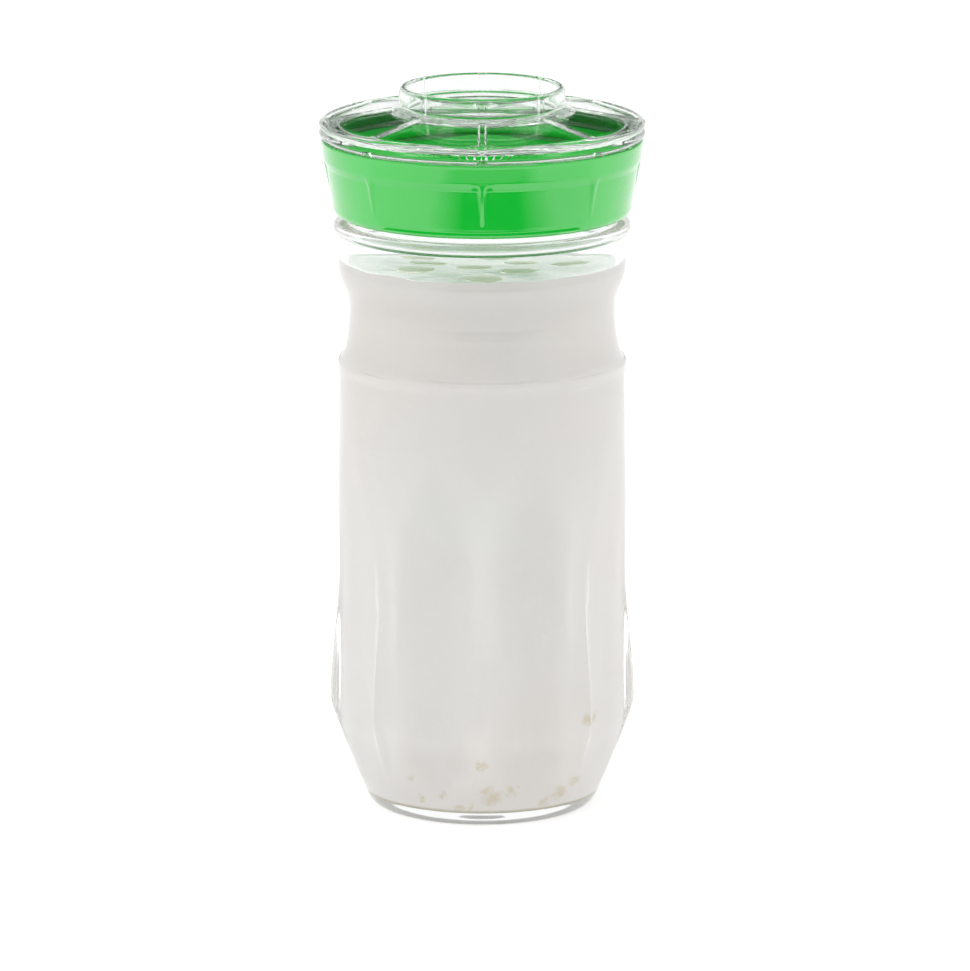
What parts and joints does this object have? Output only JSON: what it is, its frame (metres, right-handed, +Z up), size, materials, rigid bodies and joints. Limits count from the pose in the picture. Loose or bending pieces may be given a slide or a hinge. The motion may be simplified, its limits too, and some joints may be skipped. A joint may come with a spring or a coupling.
{
  "type": "kefir fermentation jar",
  "caption": "Faceted glass jar of kefir with a green screw collar, a slotted strainer and a clear lid that lifts out or turns to open its vents.",
  "frame": {"origin": "on the jar's axis, on the surface that the base ring stands on", "axes": "+Z up along the jar's axis, -Y towards the pictured front; X and Y each run through the edge between two flats"},
  "size_m": [0.0952, 0.0952, 0.2141],
  "materials": {
    "jar_glass": "clear pressed glass",
    "kefir": "wet, cloudy milk",
    "grain": "soft, wet and lumpy",
    "green_plastic": "glossy moulded plastic",
    "silicone": "milky, matt silicone",
    "clear_plastic": "clear, polished moulded plastic"
  },
  "bodies": {
    "jar": {"glass_jar": "jar_glass", "kefir_fill": "kefir", "kefir_grain_1": "grain", "kefir_grain_2": "grain", "kefir_grain_3": "grain", "kefir_grain_4": "grain", "kefir_grain_5": "grain", "kefir_grain_6": "grain", "kefir_grain_7": "grain", "kefir_grain_8": "grain", "kefir_grain_9": "grain"},
    "strainer": {"strainer": "green_plastic"},
    "collar_seal": {"collar_seal": "silicone"},
    "collar": {"screw_collar": "green_plastic"},
    "lid_seal": {"lid_seal": "silicone"},
    "lid": {"clear_lid": "clear_plastic"}
  },
  "joints": [
    {"name": "closure_lift", "type": "slide", "parent": "jar", "child": "strainer", "axis": [0, 0, 1], "range_m": [0, 0.045]},
    {"name": "collar_rise", "type": "slide", "parent": "strainer", "child": "collar_seal", "axis": [0, 0, 1], "range_m": [0, 0.0075]},
    {"name": "collar_turn", "type": "hinge", "parent": "collar_seal", "child": "collar", "pos_m": [0, 0, 0.1857], "axis": [0, 0, 1], "range_deg": [0, 450]},
    {"name": "lid_lift", "type": "slide", "parent": "collar", "child": "lid_seal", "axis": [0, 0, 1], "range_m": [0, 0.03]},
    {"name": "lid_turn", "type": "hinge", "parent": "lid_seal", "child": "lid", "pos_m": [0, 0, 0.1992], "axis": [0, 0, 1], "range_deg": [0, 22.5]}
  ],
  "couplings": [
    {"joint": "collar_rise", "follows": "collar_turn", "m_per_rad": 0.00095493}
  ]
}
